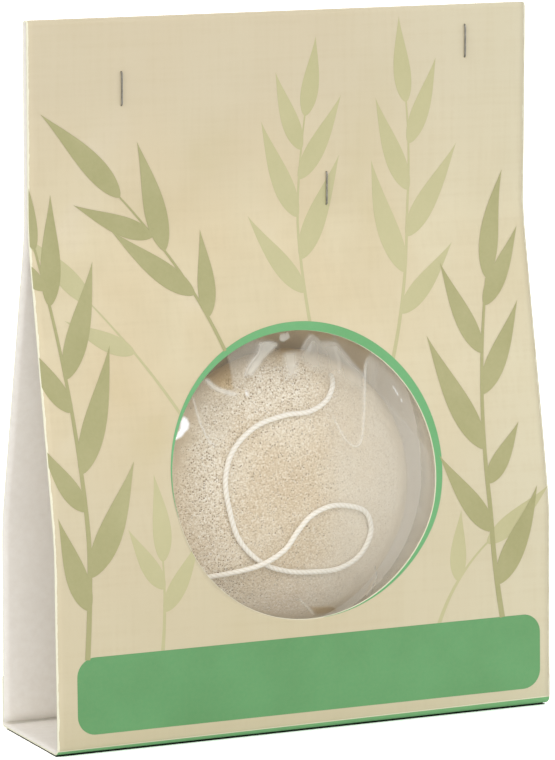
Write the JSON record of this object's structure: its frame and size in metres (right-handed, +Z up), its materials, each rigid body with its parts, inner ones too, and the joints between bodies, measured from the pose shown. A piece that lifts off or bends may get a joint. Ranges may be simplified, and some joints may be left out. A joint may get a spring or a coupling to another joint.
{
  "type": "packed cleansing sponge",
  "caption": "Round facial cleansing sponge with a hanging cord, in a clear bag stapled inside a folded card display pack with a round window.",
  "frame": {"origin": "middle of the card pack's base, at the face that it stands on", "axes": "+X along the pack's width to the right as seen from the window side, +Y from the window side to the back, +Z up to the header's top fold"},
  "size_m": [0.15, 0.0401, 0.1967],
  "materials": {
    "card": "satin print on thin white card",
    "steel_wire": "drawn wire",
    "film": "clear crinkled film",
    "sponge": "dry open plant fibre",
    "cord": "twisted cotton"
  },
  "bodies": {
    "pack": {"card_wrap": "card", "staple_left": "steel_wire", "staple_middle": "steel_wire", "staple_right": "steel_wire"},
    "bag": {"film_bag": "film", "sponge": "sponge", "cord": "cord"}
  },
  "joints": [
    {"name": "bag_swing", "type": "hinge", "parent": "pack", "child": "bag", "pos_m": [0.0135, 0, 0.143], "axis": [0, 1, 0], "range_deg": [-6, 4.5]}
  ]
}
